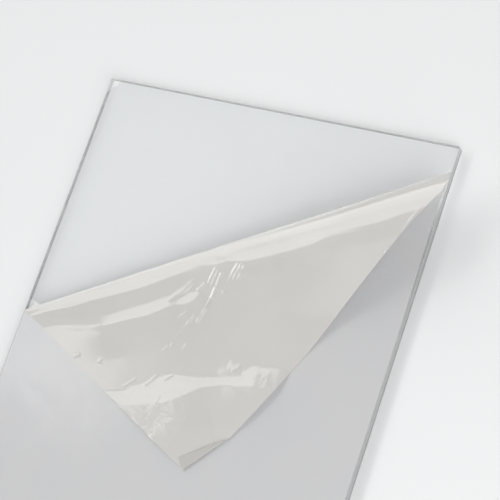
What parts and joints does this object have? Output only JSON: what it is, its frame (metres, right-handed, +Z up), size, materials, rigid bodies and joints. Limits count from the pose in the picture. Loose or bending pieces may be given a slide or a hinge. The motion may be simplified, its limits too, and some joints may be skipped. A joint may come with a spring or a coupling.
{
  "type": "acrylic sheet",
  "caption": "Clear cut acrylic sheet with saw-cut edges, lying flat, its white protective film rolled back diagonally from one corner and laid down on itself.",
  "frame": {"origin": "centre of the sheet's underside", "axes": "+X across the sheet's width towards the side where the film's loop is widest, +Y along its length towards the bared end, +Z up through its thickness"},
  "size_m": [0.2118, 0.3, 0.0293],
  "materials": {
    "clear_acrylic": "clear cast acrylic with polished faces and fine-sawn, frosted edges",
    "film": "thin white polyethylene masking film, soft gloss, very slightly translucent"
  },
  "bodies": {
    "root": {"acrylic_sheet": "clear_acrylic", "protective_film": "film"}
  },
  "joints": []
}
